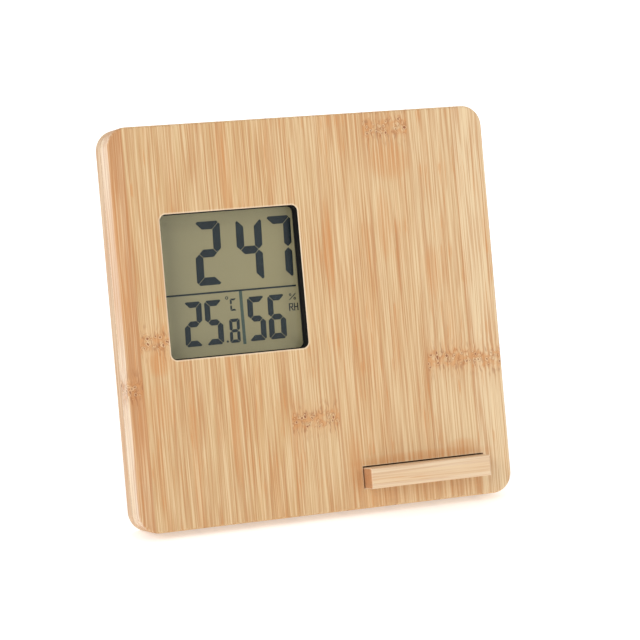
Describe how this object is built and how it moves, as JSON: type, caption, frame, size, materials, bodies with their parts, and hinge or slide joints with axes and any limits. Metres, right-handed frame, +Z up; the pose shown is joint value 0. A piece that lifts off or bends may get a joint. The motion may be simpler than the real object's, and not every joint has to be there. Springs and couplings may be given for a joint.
{
  "type": "desk weather station",
  "caption": "Square bamboo desk weather station with a recessed time, temperature and humidity display, a pull-out phone ledge and a fold-out rear leg.",
  "frame": {"origin": "middle of the footprint, on the surface that the station stands on", "axes": "+Z up, -Y the way the display faces, +X to the right of someone reading it"},
  "size_m": [0.15, 0.0614, 0.1484],
  "materials": {
    "bamboo": "vertical-grain bamboo strips, satin lacquer",
    "bamboo_leg": "bamboo, satin lacquer",
    "bamboo_ledge": "bamboo with the grain along its length, satin lacquer",
    "black_plastic": "fine matt black",
    "clear_plastic": "clear polished acrylic",
    "lcd_film": "olive-grey polarising film",
    "lcd_glass": "thin float glass",
    "reflector_film": "silver-grey reflecting film",
    "connector_rubber": "silicone with fine dark layers",
    "circuit_laminate": "green solder mask",
    "chip_resin": "black potting resin",
    "crystal_can": "drawn steel can",
    "sensor_case": "white moulded case",
    "chip_parts": "tan ceramic chips",
    "switch_case": "black switch cases",
    "housing_plastic": "fine spark-eroded black",
    "button_plastic": "dark grey, satin",
    "battery_jacket": "printed steel jacket, plain",
    "contact_metal": "nickel-plated spring steel",
    "screw_steel": "zinc-plated steel",
    "hinge_steel": "nickel-plated steel",
    "red_insulation": "red wire insulation",
    "black_insulation": "black wire insulation",
    "pad_rubber": "soft anti-slip rubber"
  },
  "bodies": {
    "panel": {"front_board": "bamboo", "rear_board": "bamboo", "display_bezel": "black_plastic", "display_lens": "clear_plastic", "front_polariser": "lcd_film", "lcd_glass": "lcd_glass", "rear_reflector": "reflector_film", "zebra_strip": "connector_rubber", "circuit_board": "circuit_laminate", "board_screws": "screw_steel", "controller_chip": "chip_resin", "clock_crystal": "crystal_can", "humidity_sensor": "sensor_case", "passive_parts": "chip_parts", "tact_switches": "switch_case", "module_housing": "housing_plastic", "housing_screws": "screw_steel", "battery_lower": "battery_jacket", "battery_upper": "battery_jacket", "battery_link_contact": "contact_metal", "battery_plus_contact": "contact_metal", "battery_minus_contact": "contact_metal", "red_lead": "red_insulation", "black_lead": "black_insulation", "fixed_hinge_leaf": "hinge_steel", "hinge_pin": "hinge_steel", "fixed_hinge_screws": "screw_steel"},
    "leg": {"support_leg": "bamboo_leg", "leg_hinge_leaf": "hinge_steel", "leg_hinge_screws": "screw_steel", "leg_pad": "pad_rubber"},
    "ledge": {"phone_ledge": "bamboo_ledge"},
    "door": {"battery_door": "housing_plastic"},
    "set_key": {"set_button": "button_plastic"},
    "down_key": {"down_button": "button_plastic"},
    "up_key": {"up_button": "button_plastic"},
    "unit_key": {"unit_button": "button_plastic"}
  },
  "joints": [
    {"name": "leg_fold", "type": "hinge", "parent": "panel", "child": "leg", "pos_m": [0.034, 0.01235, 0.07817], "axis": [1, 0, 0], "range_deg": [-24, 0]},
    {"name": "ledge_pull", "type": "slide", "parent": "panel", "child": "ledge", "axis": [0, -0.969, 0.247], "range_m": [0, 0.012]},
    {"name": "battery_door_tilt", "type": "hinge", "parent": "panel", "child": "door", "pos_m": [-0.0303, -0.00391, 0.02654], "axis": [-1, 0, 0], "range_deg": [0, 75]},
    {"name": "set_press", "type": "slide", "parent": "panel", "child": "set_key", "axis": [0, -0.969, 0.247], "range_m": [0, 0.0006], "stiffness_N_per_m": 800, "springref_m": -0.0006},
    {"name": "down_press", "type": "slide", "parent": "panel", "child": "down_key", "axis": [0, -0.969, 0.247], "range_m": [0, 0.0006], "stiffness_N_per_m": 800, "springref_m": -0.0006},
    {"name": "up_press", "type": "slide", "parent": "panel", "child": "up_key", "axis": [0, -0.969, 0.247], "range_m": [0, 0.0006], "stiffness_N_per_m": 800, "springref_m": -0.0006},
    {"name": "unit_press", "type": "slide", "parent": "panel", "child": "unit_key", "axis": [0, -0.969, 0.247], "range_m": [0, 0.0006], "stiffness_N_per_m": 800, "springref_m": -0.0006}
  ]
}
